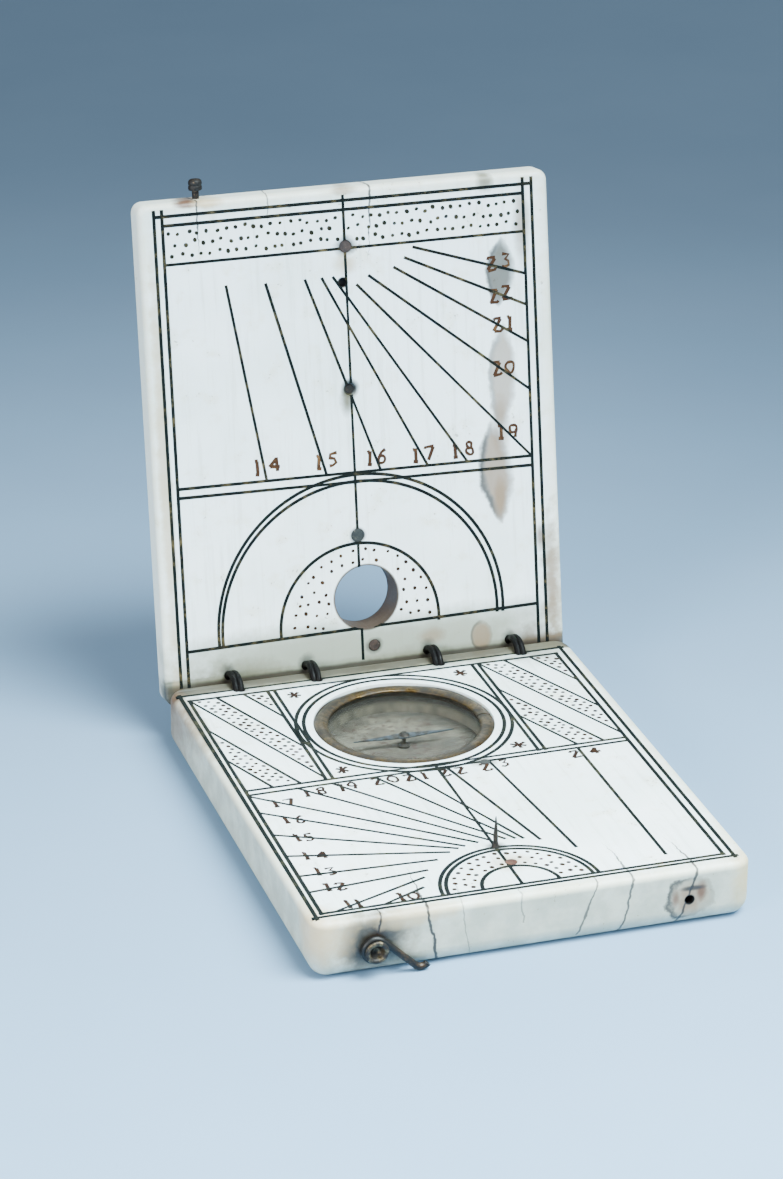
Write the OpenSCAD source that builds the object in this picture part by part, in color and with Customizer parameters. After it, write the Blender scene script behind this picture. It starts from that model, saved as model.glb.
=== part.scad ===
// Ivory diptych sundial: two leaves on wire ring hinges, a compass, a pin gnomon and a swinging latch hook.
// Origin at the centre of the base's underside, +X right, +Y towards the hinge, +Z up. The lid is drawn open.

/* [Leaves] */
// Width of both leaves
leaf_w = 73.4; // [70:0.2:78]
// Length of both leaves, free edge to hinge edge
leaf_l = 88; // [86:0.5:94]
// Thickness of the base leaf
base_t = 10.2; // [9:0.1:13]
// Thickness of the lid leaf
lid_t = 6; // [5:0.1:8]
// Radius of the base's upright corners
corner_r = 3; // [2.2:0.1:4]
// Radius of the lid's upright corners
lid_corner_r = 1.9; // [1.6:0.1:3]
// Rounding of the engraved faces' edges
edge_r = 1.2; // [0.6:0.1:1.5]
// Rounding of the base's top edge at the hinge
hinge_edge_r = 1.7; // [1.65:0.05:2]
// Rounding of the base's bottom edges
under_r = 3; // [1.5:0.1:3.5]
// Rounding of the lid's outer edges
lid_back_r = 1.6; // [0.8:0.1:2]
// Rounding of the heel that stops the open lid
heel_r = 0.5; // [0.3:0.1:0.7]

/* [Hinge] */
// How far the open lid leans back from upright
lean = 10; // [6:1:14]
// Distance from the hinge axis to the leaves' hinge edges
axis_inset = 1.65; // [1.5:0.05:1.65]
// Gap between the closed leaves
leaf_gap = 0.08; // [0.05:0.01:0.15]
// Radius of a hinge ring at the middle of its wire
ring_r = 3.5; // [3.4:0.1:3.9]
// Diameter of the ring wire
ring_wire = 0.95; // [0.7:0.05:1]
// Distance between the two turns of wire in each ring
turn_step = 0.85; // [0.7:0.05:0.9]
// Positions of the four rings across the leaf
ring_x = [-25, -11, 11.4, 26.7];
// Radial clearance of the rings in the lid
ring_play = 0.2; // [0.1:0.05:0.3]
// Radius and depth of the worn mouths where the rings go into the leaves
mouth = [0.8, 0.6];

/* [Latch] */
// Position of the hook's pivot across the base
hook_x = -26.8; // [-29:0.1:-25]
// Height of both pivot holes above the underside
hook_z = 4.8; // [4.6:0.1:5.4]
// Position of the second pivot hole, which has lost its hook
empty_hole_x = 25.8; // [24:0.1:28]
// Diameter of the pivot holes
pivot_d = 1.6; // [1.2:0.1:2]
// Depth of the pivot holes
pivot_depth = 6; // [4:0.5:8]
// Radius of the rivet's head
rivet_r = 1.95; // [1.8:0.05:2.1]
// Rise of the rivet's head above its shoulder
rivet_rise = 0.7; // [0.5:0.05:0.9]
// Radius of the hollow in the rivet's head
hollow_r = 1.05; // [0.8:0.05:1.1]
// Diameter of the hook wire
hook_wire = 1.1; // [0.9:0.05:1.2]
// Radius of the hook's eye at the middle of its wire
eye_r = 1.8; // [1.7:0.05:2]
// Sweep of the wire round the hook's eye
eye_sweep = 296; // [270:1:300]
// Sweep of the hook's bend beyond the catch stud
bend_hold = 74; // [60:1:110]
// Angle of the resting hook above the table line
hook_rest = -21; // [-21:0.5:0]
// Position of the catch stud across the lid
stud_x = -25.8; // [-28:0.1:-24]
// Depth of the catch stud behind the lid's inner face
stud_n = 2.5; // [2.2:0.1:3.2]
// Diameter of the stud's neck
neck_d = 1.2; // [1:0.1:1.3]
// Diameter of the stud's head
stud_head_d = 2.4; // [2:0.1:2.6]
// Length of the stud's head
stud_head_l = 2.05; // [1.6:0.05:2.4]

/* [Compass] */
// Centre of the compass on the base
compass_at = [-1.5, 19.3];
// Outer radius of the brass bezel
bezel_r = 15.5; // [15:0.1:16]
// Width of the bezel
bezel_w = 2.5; // [2:0.1:3]
// Rise of the bezel's rounded crown
bezel_h = 0.6; // [0.5:0.05:0.9]
// Thickness of the glass
glass_t = 0.9; // [0.6:0.1:1.1]
// Radius of the compass well
well_r = 13.5; // [13.2:0.1:14]
// Depth of the compass well below the face
well_depth = 4.8; // [4.6:0.1:6]
// Length of the needle
needle_l = 18; // [14:0.5:22]
// Width of the needle at its middle
needle_w = 1.9; // [1.6:0.1:2.4]

/* [Gnomons, holes and plugs] */
// Foot of the pin gnomon on the base
gnomon_at = [-1.3, -27.6];
// Height of the pin gnomon above the base
gnomon_h = 5.5; // [4:0.1:5.6]
// Diameter of the pin gnomon at its foot
gnomon_d = 0.9; // [0.7:0.1:1]
// Diameter of the hole in the lid that takes the pin gnomon
gnomon_hole_d = 1.6; // [1.5:0.1:1.8]
// Place of the broken gnomon stub on the lid
stub_at = [-0.9, 52.8];
// Diameter of the stub and of the hole round it
stub_d = [1.6, 2.3];
// Centre of the sighting aperture in the lid
aperture_at = [0.3, 15.4];
// Radius of the sighting aperture
aperture_r = 5.75; // [5:0.05:6]
// Plugs in the lid, from the free edge down: place and diameter
lid_plugs = [[[-0.5, 77.8], 2.3], [[-0.7, 26.7], 2.5], [[1.4, 6.5], 2.2]];
// Plugs in the base: place and diameter
base_plugs = [[[-0.6, -33.2], 2.1], [[6.9, 1.3], 2]];
// Length of the plugs
plug_l = 4; // [2:0.5:5]

/* [Engraving] */
// Depth of the engraved lines
line_depth = 0.2; // [0.15:0.05:0.3]
// Width of the frame lines
frame_w = 0.42; // [0.3:0.02:0.5]
// Width of the hour lines
hour_w = 0.34; // [0.25:0.01:0.4]
// Base frame, outer rectangle, low corner and high corner
base_frame = [[-35.4, -41.6], [34.2, 39.8]];
// Base frame, inner rectangle, low corner and high corner
base_frame_in = [[-34.3, -40.6], [32.7, 37.7]];
// Double line across the base: heights of each line at its left and right end
base_mid = [[2.5, 3], [0.9, 1.8]];
// Upright double lines beside the compass
base_seps = [[-20.4, -19.2], [16.9, 18.1]];
// Slopes and spacing of the slanting stripes beside the compass
stripe_slope = [-2.45, -2.25];
// Distance between stripes across the leaf
stripe_step = 4.8; // [4:0.1:6]
// Radii of the double circle round the compass
compass_circles = [17.1, 18.45];
// Centre and radii of the half circles at the front of the base
front_arcs_at = [-1.4, -40.9];
// Radii of the half circles at the front of the base
front_arcs = [13, 12.05, 6.4];
// Outer ends of the base's hour lines, hours 10 to 23
base_hours = [[-24, -40.6], [-32, -40.6], [-34.3, -33.5], [-34.3, -28], [-34.3, -21], [-34.3, -13.5],
              [-34.3, -5.5], [-34.3, 0.5], [-26, 1.2], [-20, 1.2], [-12.5, 1.2], [-7, 1.4], [0, 1.4], [7.6, 1.4]];
// Bearings of their inner ends round the front half circles
base_bearings = [166, 154, 145, 131, 119, 112, 107, 98, 90, 81, 75, 70, 60, 37];
// Distance of those inner ends from the centre of the front half circles
hour_stop_r = 15.6; // [14.5:0.1:17]
// The base's last hour line, hour 24
base_last_hour = [[23.5, 1.6], [23.9, -38]];
// Lid frame, outer rectangle: left, right and top
lid_frame = [-33.9, 33.6, 85.8];
// Lid frame, inner rectangle: left, right and top
lid_frame_in = [-32.5, 32, 84.2];
// Both ends of the lid frame's upright lines
lid_uprights = [3.2, 86.9];
// Lower edge of the dotted band
band_v = 77.5; // [76:0.5:79]
// Double line across the lid: heights of each line at its left and right end
lid_mid = [[38.5, 37.4], [36.9, 35.7]];
// Ground line of the lid: heights at its left and right end
lid_ground = [9.5, 10.4];
// Half circles of the lid: centre and radius
lid_arcs = [[[-0.6, 11.5], 26.1], [[-0.8, 11.2], 25.2], [[-1, 10.8], 14.5]];
// Upper ends of the lid's hour lines, hours 14 to 23
lid_hours = [[-22, 73], [-15, 72.7], [-8, 72.7], [-5, 72.7], [-3, 72.7], [1.2, 71], [3.4, 72.4],
             [8, 73.4], [10, 74.9], [11.6, 76.6]];
// Lower ends of the lid's hour lines
lid_hours_low = [[-16.6, 38.2], [-5.8, 38], [4, 37.9], [12.6, 37.8], [19.9, 37.7], [31.8, 37.5], [31.8, 49.6],
                 [31.8, 58.1], [31.8, 64.6], [31.8, 70.1]];

/* [Hidden] */

$fn = 48;
// Overlap of a cutter past the face that it cuts
lift = 0.5;
// The axis lies far enough below the face for the heel to meet the base at the lean angle
axis_drop = axis_inset * (1 + sin(lean)) / cos(lean);
axis_y = leaf_l / 2 - axis_inset;
axis_z = base_t - axis_drop;
// Distance from the axis to the lid's inner face
lid_off = axis_drop + leaf_gap;
// Where the rings cross the base's face, and the lid's
ring_foot_y = axis_y - sqrt(ring_r * ring_r - axis_drop * axis_drop);
ring_foot_v = axis_inset + sqrt(ring_r * ring_r - lid_off * lid_off);
mouth_shift = 0.35;
bezel_z = base_t - bezel_h - 0.05;
glass_z = bezel_z - glass_t;
well_z = base_t - well_depth;
card_t = 0.25;
// Heights of the needle's blade and of the pivot's tip
blade_z = glass_z - 1.1;
blade_t = 0.3;
tip_z = blade_z + 0.6;
// Middle of the hook wire in front of the base, and the gap that it leaves there
hook_gap = 0.15;
hook_y = -leaf_l / 2 - hook_gap - hook_wire / 2;
neck_l = hook_gap * 2 + hook_wire;
// The stud's place seen from the hook's pivot when the dial is shut
catch_dx = stud_x - hook_x;
catch_dz = base_t + leaf_gap + stud_n - hook_z;
reach = norm([catch_dx, catch_dz]);
bend_r = neck_d / 2 + hook_wire / 2 + 0.12;
// The arm runs on the common tangent that crosses between the eye and the bend
arm_slope = asin((eye_r + bend_r) / reach);
arm_l = sqrt(reach * reach - (eye_r + bend_r) * (eye_r + bend_r));

// A flat ring with a rounded rim: one corner of a tablet, rim_r round the edge of its upright corner
module corner_rim(corner, rim_r) {
    rotate_extrude($fn = 40) intersection() {
        translate([corner - rim_r, 0]) circle(rim_r, $fn = 32);
        translate([0, -rim_r]) square([corner, 2 * rim_r]);
    }
}

// A tablet with rounded edges and its engraved face on top. The face's edges round from near_r at -Y to far_r at +Y
module tablet(t, corner, near_r, far_r, back_r) {
    hull() for (sx = [-1, 1], sy = [-1, 1]) {
        face_r = sy > 0 ? far_r : near_r;
        translate([sx * (leaf_w / 2 - corner), sy * (leaf_l / 2 - corner), 0]) {
            translate([0, 0, t - face_r]) corner_rim(corner, face_r);
            translate([0, 0, back_r]) corner_rim(corner, back_r);
        }
    }
}

// Moves a shape drawn on the lid's own face to the open lid: x across, y up from the heel, z out of the face
module on_lid() {
    translate([0, axis_y, axis_z]) rotate([-lean, 0, 0]) translate([0, lid_off, -axis_inset])
        rotate([90, 0, 0]) children();
}

module on_base() {
    translate([0, 0, base_t]) children();
}

// A straight engraved line, cut below the plane z = 0 and raised above it by rise
module stroke(from, to, w, rise) {
    run = to - from;
    translate([from.x, from.y, -line_depth]) rotate(atan2(run.y, run.x)) translate([0, -w / 2, 0])
        cube([norm(run), w, line_depth + rise]);
}

module arc(at, r, w, rise, from = 0, sweep = 360) {
    translate([at.x, at.y, -line_depth]) rotate(from) rotate_extrude(angle = sweep, $fn = 96)
        translate([r - w / 2, 0]) square([w, line_depth + rise]);
}

// Four lines that overshoot their corners a little, as a ruler and scriber leave them
module frame(low, high, w, rise, over = 0.3) {
    for (y = [low.y, high.y]) stroke([low.x - over, y], [high.x + over, y], w, rise);
    for (x = [low.x, high.x]) stroke([x, low.y - over], [x, high.y + over], w, rise);
}

// Slanting stripes across a panel between two uprights, each one cut off at the panel's edges
module stripes(left, right, low, high, slope, rise) {
    for (k = [-2 : 2]) {
        top_x = left + k * stripe_step;
        start = top_x < left ? [left, high + (left - top_x) * slope] : [top_x, high];
        end_y = start.y + (right - start.x) * slope;
        end = end_y < low ? [start.x + (low - start.y) / slope, low] : [right, end_y];
        stroke(start, end, hour_w, rise);
    }
}

module base_engraving(rise) {
    frame(base_frame[0], base_frame[1], frame_w, rise, 0.6);
    frame(base_frame_in[0], base_frame_in[1], frame_w, rise);
    for (m = base_mid) stroke([base_frame_in[0].x, m[0]], [base_frame_in[1].x, m[1]], frame_w, rise);
    for (pair = base_seps, x = pair) stroke([x, base_mid[0][0]], [x, base_frame_in[1].y], frame_w, rise);
    stripes(base_frame_in[0].x, base_seps[0][0], base_mid[0][0], base_frame_in[1].y, stripe_slope[0], rise);
    stripes(base_seps[1][1], base_frame_in[1].x, base_mid[0][1], base_frame_in[1].y, stripe_slope[1], rise);
    for (r = compass_circles) arc(compass_at, r, frame_w, rise);
    for (r = front_arcs) arc(front_arcs_at, r, frame_w, rise, 1, 178);
    stroke([gnomon_at.x - 0.2, base_mid[0][0]], [gnomon_at.x, base_frame_in[0].y], hour_w, rise);
    for (i = [0 : len(base_hours) - 1])
        stroke(base_hours[i], front_arcs_at + hour_stop_r * [cos(base_bearings[i]), sin(base_bearings[i])],
            hour_w, rise);
    stroke(base_last_hour[0], base_last_hour[1], hour_w, rise);
}

module lid_engraving(rise) {
    for (f = [lid_frame, lid_frame_in]) {
        stroke([f[0], f[2]], [f[1], f[2]], frame_w, rise);
        for (i = [0, 1]) stroke([f[i], lid_uprights[0]], [f[i], lid_uprights[1]], frame_w, rise);
    }
    stroke([lid_frame_in[0], band_v], [lid_frame_in[1], band_v], hour_w, rise);
    for (m = lid_mid) stroke([lid_frame_in[0], m[0]], [lid_frame_in[1], m[1]], frame_w, rise);
    stroke([lid_frame_in[0], lid_ground[0]], [lid_frame_in[1], lid_ground[1]], frame_w, rise);
    for (a = lid_arcs) {
        dip = asin((a[0].y - lid_ground[0]) / a[1]) - 0.8;
        arc(a[0], a[1], frame_w, rise, -dip, 180 + 2 * dip);
    }
    stroke([-0.6, 86.7], [-0.8, 4.2], hour_w, rise);
    for (i = [0 : len(lid_hours) - 1]) stroke(lid_hours[i], lid_hours_low[i], hour_w, rise);
}

// Upright bores in a face: place and diameter of each, and how deep they go
module bores(list, depth, grow = 0) {
    for (b = list) translate([b[0].x, b[0].y, -depth]) cylinder(h = depth + lift, d = b[1] + grow);
}

// A ring of two turns of wire side by side. Grown a little, it cuts the passage that follows the ring
module ring_at(x, wire_r) {
    translate([x, axis_y, axis_z]) rotate([0, 90, 0]) rotate_extrude($fn = 72)
        for (side = [-1, 1]) translate([ring_r, side * turn_step / 2]) circle(wire_r, $fn = 32);
}

// The base holds both turns of a ring in one slot with round sides
module ring_slot(x) {
    wire_r = ring_wire / 2 + 0.02;
    translate([x, axis_y, axis_z]) rotate([0, 90, 0]) rotate_extrude($fn = 72) {
        for (side = [-1, 1]) translate([ring_r, side * turn_step / 2]) circle(wire_r, $fn = 32);
        translate([ring_r, 0]) square([2 * wire_r, turn_step], center = true);
    }
}

// The mouths have worn wide, on the right of each ring in the base and on its left in the lid
module base_mouths() {
    for (x = ring_x) bores([[[x + mouth_shift, ring_foot_y], 2 * mouth[0]]], mouth[1]);
}

module lid_mouths() {
    for (x = ring_x) bores([[[x - mouth_shift, ring_foot_v], 2 * mouth[0]]], mouth[1]);
}

module base_leaf() {
    color("ivory") difference() {
        tablet(base_t, corner_r, edge_r, hinge_edge_r, under_r);
        on_base() base_engraving(lift);
        on_base() bores(base_plugs, plug_l);
        on_base() bores([[gnomon_at, gnomon_d]], plug_l);
        translate([compass_at.x, compass_at.y, well_z]) cylinder(h = base_t, r = well_r);
        translate([compass_at.x, compass_at.y, glass_z]) cylinder(h = base_t, r = bezel_r, $fn = 96);
        for (x = ring_x) ring_slot(x);
        on_base() base_mouths();
        for (x = [hook_x, empty_hole_x]) translate([x, -leaf_l / 2 - lift, hook_z]) rotate([-90, 0, 0])
            cylinder(h = pivot_depth + lift, d = pivot_d);
    }
}

module base_lines() {
    color("darkslategray") on_base() difference() {
        base_engraving(0);
        bores(base_plugs, plug_l, 0.04);
        bores([[gnomon_at, gnomon_d]], plug_l, 0.04);
        base_mouths();
        for (x = ring_x) translate([0, 0, -base_t]) ring_at(x, ring_wire / 2 + 0.1);
    }
}

module lid_leaf() {
    color("ivory") difference() {
        on_lid() translate([0, leaf_l / 2, -lid_t]) tablet(lid_t, lid_corner_r, heel_r, edge_r, lid_back_r);
        on_lid() lid_engraving(lift);
        on_lid() bores(lid_plugs, plug_l);
        on_lid() bores([[stub_at, stub_d[0]]], plug_l);
        on_lid() bores([[stub_at, stub_d[1]]], 0.5);
        on_lid() translate([gnomon_at.x, leaf_l / 2 - gnomon_at.y, -lid_t - lift])
            cylinder(h = lid_t + 2 * lift, d = gnomon_hole_d);
        on_lid() translate([aperture_at.x, aperture_at.y, -lid_t - lift])
            cylinder(h = lid_t + 2 * lift, r = aperture_r, $fn = 96);
        for (x = ring_x) ring_at(x, ring_wire / 2 + ring_play);
        on_lid() lid_mouths();
        on_lid() translate([stud_x, leaf_l - plug_l, -stud_n]) rotate([-90, 0, 0])
            cylinder(h = plug_l + lift, d = neck_d);
    }
}

module lid_lines() {
    color("darkslategray") on_lid() difference() {
        lid_engraving(0);
        bores(lid_plugs, plug_l, 0.04);
        bores([[stub_at, stub_d[1]]], plug_l, 0.04);
        bores([[[gnomon_at.x, leaf_l / 2 - gnomon_at.y], gnomon_hole_d]], plug_l, 0.04);
        bores([[aperture_at, 2 * aperture_r]], plug_l, 0.04);
    }
}

module hinge_ring(i) {
    color("dimgray") ring_at(ring_x[i], ring_wire / 2);
}

// A split ring with a rounded crown, sprung in on top of the glass
module compass_bezel() {
    crown_r = (bezel_w * bezel_w / 4 + bezel_h * bezel_h) / (2 * bezel_h);
    color("darkgoldenrod") translate([compass_at.x, compass_at.y, bezel_z]) rotate_extrude($fn = 96)
        translate([bezel_r - 0.04 - bezel_w / 2, 0]) intersection() {
            translate([0, bezel_h - crown_r]) circle(crown_r, $fn = 64);
            translate([-bezel_w / 2, 0]) square([bezel_w, bezel_h + 1]);
        }
}

module compass_glass() {
    color("lightblue", 0.4) translate([compass_at.x, compass_at.y, glass_z])
        cylinder(h = glass_t, r = bezel_r - 0.1, $fn = 96);
}

module compass_card() {
    color("tan") translate([compass_at.x, compass_at.y, well_z]) cylinder(h = card_t, r = well_r - 0.1, $fn = 96);
}

// A turned foot, a stem and a sharp tip that carries the needle
module compass_pivot() {
    foot = well_z + card_t;
    color("peru") translate([compass_at.x, compass_at.y, 0]) rotate_extrude()
        polygon([[0, foot], [1.1, foot], [1.1, foot + 0.35], [0.45, foot + 0.6], [0.3, tip_z - 0.7], [0, tip_z]]);
}

module compass_needle() {
    color("steelblue") translate([compass_at.x, compass_at.y, blade_z]) linear_extrude(blade_t) difference() {
        polygon([[-needle_l / 2, 0], [0, -needle_w / 2], [needle_l / 2, 0], [0, needle_w / 2]]);
        circle(0.55);
    }
}

// The brass cap is riveted through the blade, and its hollow sits on the pivot's tip
module needle_cap() {
    top = blade_z + blade_t;
    color("gold") translate([compass_at.x, compass_at.y, 0]) rotate_extrude()
        polygon([[0, tip_z + 0.06], [0.42, blade_z - 0.1], [0.55, blade_z - 0.1], [0.55, top], [0.95, top],
                 [0.4, top + 0.5], [0, top + 0.5]]);
}

module gnomon_pin() {
    color("saddlebrown") on_base() translate([gnomon_at.x, gnomon_at.y, 0]) {
        translate([0, 0, -plug_l]) cylinder(h = plug_l, d = gnomon_d);
        cylinder(h = gnomon_h, d1 = gnomon_d, d2 = 0.3);
    }
}

module plug(p) {
    translate([p[0].x, p[0].y, -plug_l]) cylinder(h = plug_l, d = p[1]);
}

// Shank in the ivory, a shoulder that carries the eye, and a hollow round head
module hook_rivet() {
    shoulder_r = eye_r - hook_wire / 2 - 0.1;
    color("darkkhaki") translate([hook_x, -leaf_l / 2, hook_z]) rotate([90, 0, 0]) {
        translate([0, 0, -pivot_depth]) cylinder(h = pivot_depth, d = pivot_d);
        rotate_extrude() polygon([[0, 0], [shoulder_r, 0], [shoulder_r, neck_l], [rivet_r - 0.05, neck_l],
            [rivet_r, neck_l + rivet_rise / 2], [rivet_r - 0.35, neck_l + rivet_rise],
            [hollow_r + 0.3, neck_l + rivet_rise], [hollow_r, neck_l + rivet_rise / 2],
            [hollow_r - 0.3, hook_wire / 2], [0, hook_wire / 2]]);
    }
}

// Eye, straight arm, and a bend that goes round the stud's neck when the dial is shut
module latch_hook() {
    color("olive") translate([hook_x, hook_y, hook_z]) rotate([90, 0, 0]) rotate(hook_rest + 90 - arm_slope) {
        rotate_extrude(angle = eye_sweep) translate([eye_r, 0]) circle(d = hook_wire, $fn = 24);
        translate([eye_r, 0, 0]) rotate([90, 0, 0]) cylinder(h = arm_l, d = hook_wire, $fn = 24);
        translate([eye_r + bend_r, -arm_l, 0]) rotate(180) rotate_extrude(angle = bend_hold + arm_slope)
            translate([bend_r, 0]) circle(d = hook_wire, $fn = 24);
    }
}

module catch_stud() {
    top = neck_l + stud_head_l;
    color("darkkhaki") on_lid() translate([stud_x, leaf_l, -stud_n]) rotate([-90, 0, 0]) rotate_extrude()
        polygon([[0, -plug_l], [neck_d / 2, -plug_l], [neck_d / 2, neck_l], [stud_head_d / 2 - 0.15, neck_l],
                 [stud_head_d / 2, neck_l + 0.2], [stud_head_d / 2, top - 0.35], [stud_head_d / 2 - 0.3, top - 0.05],
                 [0, top]]);
}

module lid_gnomon_stub() {
    color("saddlebrown") on_lid() translate([stub_at.x, stub_at.y, -plug_l]) cylinder(h = plug_l - 0.35, d = stub_d[0]);
}

base_leaf();
base_lines();
lid_leaf();
lid_lines();
hinge_ring(0);  // hinge_ring_1
hinge_ring(1);  // hinge_ring_2
hinge_ring(2);  // hinge_ring_3
hinge_ring(3);  // hinge_ring_4
compass_bezel();
compass_glass();
compass_card();
compass_pivot();
compass_needle();
needle_cap();
gnomon_pin();
color("rosybrown") on_base() plug(base_plugs[0]);  // front_plug
color("gray") on_base() plug(base_plugs[1]);  // side_plug
hook_rivet();
latch_hook();
catch_stud();
lid_gnomon_stub();
color("saddlebrown") on_lid() plug(lid_plugs[0]);  // lid_top_plug
color("dimgray") on_lid() plug(lid_plugs[1]);  // lid_middle_plug
color("rosybrown") on_lid() plug(lid_plugs[2]);  // lid_lower_plug
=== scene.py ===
import math
import random

import bmesh
import bpy
from mathutils import Matrix, Vector, noise


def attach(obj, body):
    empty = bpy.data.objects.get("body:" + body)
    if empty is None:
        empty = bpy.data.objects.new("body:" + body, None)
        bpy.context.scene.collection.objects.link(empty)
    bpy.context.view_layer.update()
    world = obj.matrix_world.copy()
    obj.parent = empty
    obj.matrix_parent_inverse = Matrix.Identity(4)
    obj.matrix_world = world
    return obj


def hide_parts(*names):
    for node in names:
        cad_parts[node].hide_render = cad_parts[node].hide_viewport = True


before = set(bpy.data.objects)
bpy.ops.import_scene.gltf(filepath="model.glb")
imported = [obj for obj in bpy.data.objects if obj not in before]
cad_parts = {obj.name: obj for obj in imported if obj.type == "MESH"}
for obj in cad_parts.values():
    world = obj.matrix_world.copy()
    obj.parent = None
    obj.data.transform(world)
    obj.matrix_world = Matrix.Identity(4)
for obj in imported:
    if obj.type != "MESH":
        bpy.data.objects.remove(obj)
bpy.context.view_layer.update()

# real sizes in millimetres, the same ones that the part's source names
leaf = {"width": 73.4, "length": 88.0, "baseThick": 10.2}
hinge = {"y": 42.35, "z": 8.2336, "lean": 10.0, "off": 2.0464, "inset": 1.65,
         "rings": (-25.0, -11.0, 11.4, 26.7)}
toMetres = Matrix.Scale(0.001, 4)
onBase = Matrix.Translation((0, 0, leaf["baseThick"]))
onLid = (Matrix.Translation((0, hinge["y"], hinge["z"]))
         @ Matrix.Rotation(math.radians(-hinge["lean"]), 4, "X")
         @ Matrix.Translation((0, hinge["off"], -hinge["inset"]))
         @ Matrix.Rotation(math.radians(90), 4, "X"))
onFront = Matrix.Translation((0, -leaf["length"] / 2, 0)) @ Matrix.Rotation(math.radians(90), 4, "X")


# short calls for building node trees

def addNode(tree, kind, feeds=None, **settings):
    made = tree.nodes.new(kind)
    for name, value in settings.items():
        setattr(made, name, value)
    feed(made, feeds or {})
    return made


def feed(node, feeds):
    # links each value that comes from a node, and sets each plain one on the input itself
    for name, value in feeds.items():
        if isinstance(value, bpy.types.NodeSocket):
            node.id_data.links.new(value, node.inputs[name])
        else:
            node.inputs[name].default_value = value


def tone(red, green, blue):
    # a colour as it is read from a screen, turned into the linear one a shader wants
    def linear(value):
        value /= 255
        return value / 12.92 if value <= 0.04045 else ((value + 0.055) / 1.055) ** 2.4
    return (linear(red), linear(green), linear(blue), 1.0)


def calc(operation, *values):
    tree = next(value.id_data for value in values if isinstance(value, bpy.types.NodeSocket))
    return addNode(tree, "ShaderNodeMath", dict(enumerate(values)), operation=operation).outputs[0]


def soften(value, low, high, toLow=0.0, toHigh=1.0):
    return addNode(value.id_data, "ShaderNodeMapRange",
                   {"Value": value, "From Min": low, "From Max": high, "To Min": toLow, "To Max": toHigh},
                   interpolation_type="SMOOTHSTEP").outputs[0]


def mixTone(factor, under, over):
    return addNode(factor.id_data, "ShaderNodeMix", {0: factor, 6: under, 7: over},
                   data_type="RGBA").outputs[2]


def mapped(vector, kind="POINT", **feeds):
    return addNode(vector.id_data, "ShaderNodeMapping", {"Vector": vector, **feeds},
                   vector_type=kind).outputs[0]


def axes(vector):
    return addNode(vector.id_data, "ShaderNodeSeparateXYZ", {0: vector}).outputs


def distance(vector, place=(0, 0, 0)):
    return addNode(vector.id_data, "ShaderNodeVectorMath", {0: vector, 1: place},
                   operation="DISTANCE").outputs["Value"]


def speckle(vector, scale, detail=2.0, roughness=0.5, stretch=(1, 1, 1), shift=(0, 0, 0), warp=0.0):
    return addNode(vector.id_data, "ShaderNodeTexNoise",
                   {"Vector": mapped(vector, Location=shift, Scale=stretch), "Scale": scale,
                    "Detail": detail, "Roughness": roughness, "Distortion": warp}).outputs[0]


def raised(height, strength, depth):
    # bumps of the given depth in millimetres
    return addNode(height.id_data, "ShaderNodeBump",
                   {"Height": height, "Strength": strength, "Distance": depth * 0.001}).outputs[0]


def newFinish(name, place=None):
    # a material with its shader, and its coordinates in millimetres on the leaf that place describes
    finish = bpy.data.materials.new(name)
    finish.use_nodes = True
    tree = finish.node_tree
    local = (place or Matrix.Identity(4)).inverted()
    spot = mapped(addNode(tree, "ShaderNodeTexCoord").outputs["Object"], Location=local.translation,
                  Rotation=local.to_euler(), Scale=(1000, 1000, 1000))
    return finish, tree.nodes["Principled BSDF"], spot


# the ivory of the two leaves

ivoryLook = {
    "pale": tone(231, 241, 240), "milky": tone(245, 253, 254), "cream": tone(206, 200, 166),
    "brown": tone(104, 80, 56), "dark": tone(30, 21, 15), "grey": tone(182, 188, 178),
    # seam is the brown of handling together with painted shade in the crease at the hinge
    "seamBrownAndShade": tone(50, 44, 34),
    "cloud": {"scale": 0.045, "detail": 3, "roughness": 0.55},
    "mottle": {"scale": 0.22, "detail": 4, "roughness": 0.6},
    "grain": {"scale": 1.1, "detail": 4, "roughness": 0.65, "stretch": (1, 0.045, 1)},
    "fine": {"scale": 3.2, "detail": 3, "roughness": 0.6, "stretch": (1, 0.12, 1)},
    "grit": {"scale": 1.9, "detail": 2, "roughness": 0.5},
    "ragged": {"scale": 0.33, "detail": 4, "roughness": 0.6},
    "along": {"scale": 1.7, "detail": 3, "roughness": 0.6, "stretch": (0.03, 1, 1)},
    "bend": {"scale": 0.28, "detail": 3, "roughness": 0.7},
    "crackBend": 1.5,  # how far a crack strays, in millimetres
    "markLift": 0.6,  # colours mix in linear light, so the masks of the stains and of the painted shade are lifted by this power
    "bump": 0.35, "bumpDepth": 0.05, "crackDepth": -3.0,
    "glow": 0.12, "glowDepth": (0.0022, 0.0014, 0.0009), "bending": 1.54,
}


def patch(at, size, hue, strength, rag=0.5, soft=0.7, **more):
    # a stain or a patch of painted shade on a face: its place, half its size, how ragged its rim is and
    # where its fading starts
    return {"at": at, "size": size, "tone": hue, "strength": strength, "rag": rag, "soft": soft,
            "deep": 0.0, "through": 4.5, "turn": 0.0, "square": 2.0, "pointed": False, "rim": 0.0, **more}


def crackAcross(spot, crack):
    # a crack is a thin sheet that runs from the free edge across the face and down through the leaf
    start, onFace, inDepth, length, broad, strength, deepest = crack
    x, fromEdge, depth, bend = spot
    centre = calc("MULTIPLY_ADD", fromEdge, onFace, start)
    centre = calc("MULTIPLY_ADD", depth, inDepth, centre)
    centre = calc("ADD", centre, bend)
    away = calc("ABSOLUTE", calc("SUBTRACT", x, centre))
    width = soften(fromEdge, length * 0.1, length, broad, 0.0)
    thin = calc("DIVIDE", away, calc("MAXIMUM", width, 0.0001))
    line = soften(thin, 0.35, 1.0, strength, 0.0)
    reached = calc("LESS_THAN", fromEdge, length)
    deep = calc("GREATER_THAN", depth, -deepest)
    return calc("MULTIPLY", calc("MULTIPLY", line, reached), deep)


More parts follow.
